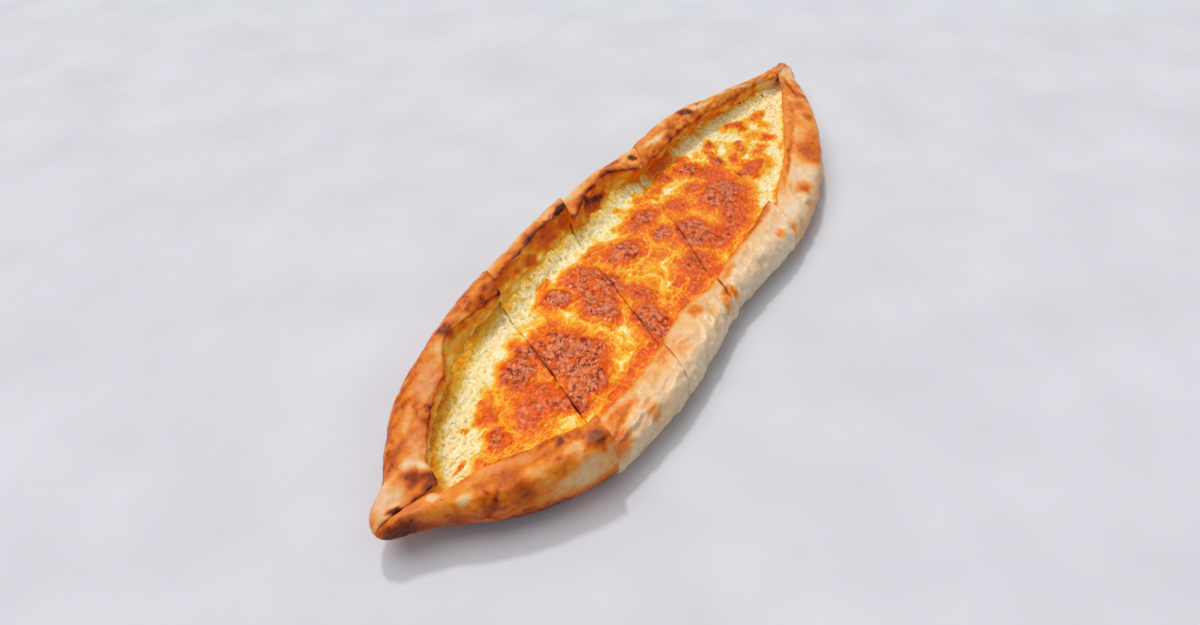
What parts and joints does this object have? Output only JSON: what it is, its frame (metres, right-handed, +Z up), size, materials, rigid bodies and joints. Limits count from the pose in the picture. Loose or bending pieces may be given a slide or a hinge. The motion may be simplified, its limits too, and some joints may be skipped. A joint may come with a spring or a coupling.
{
  "type": "cheese pide",
  "caption": "Boat-shaped baked flatbread with folded rims and pinched tips, filled with browned melted cheese and cut across into slices that keep the whole's shape.",
  "frame": {"origin": "on the flat underside that the bread rests on, at the middle of the whole", "axes": "+X along the length from the near tip to the far tip, +Y towards the taller left rim, +Z up"},
  "size_m": [0.424, 0.1272, 0.0299],
  "materials": {
    "crust": "baked dough crust, satin, browned in patches",
    "cheese": "melted cheese, soft gloss, pale yellow with browned blisters"
  },
  "bodies": {
    "root": {"slice_1_dough": "crust", "slice_1_cheese": "cheese", "slice_2_dough": "crust", "slice_2_cheese": "cheese", "slice_3_dough": "crust", "slice_3_cheese": "cheese", "slice_4_dough": "crust", "slice_4_cheese": "cheese", "slice_5_dough": "crust", "slice_5_cheese": "cheese"}
  },
  "joints": []
}
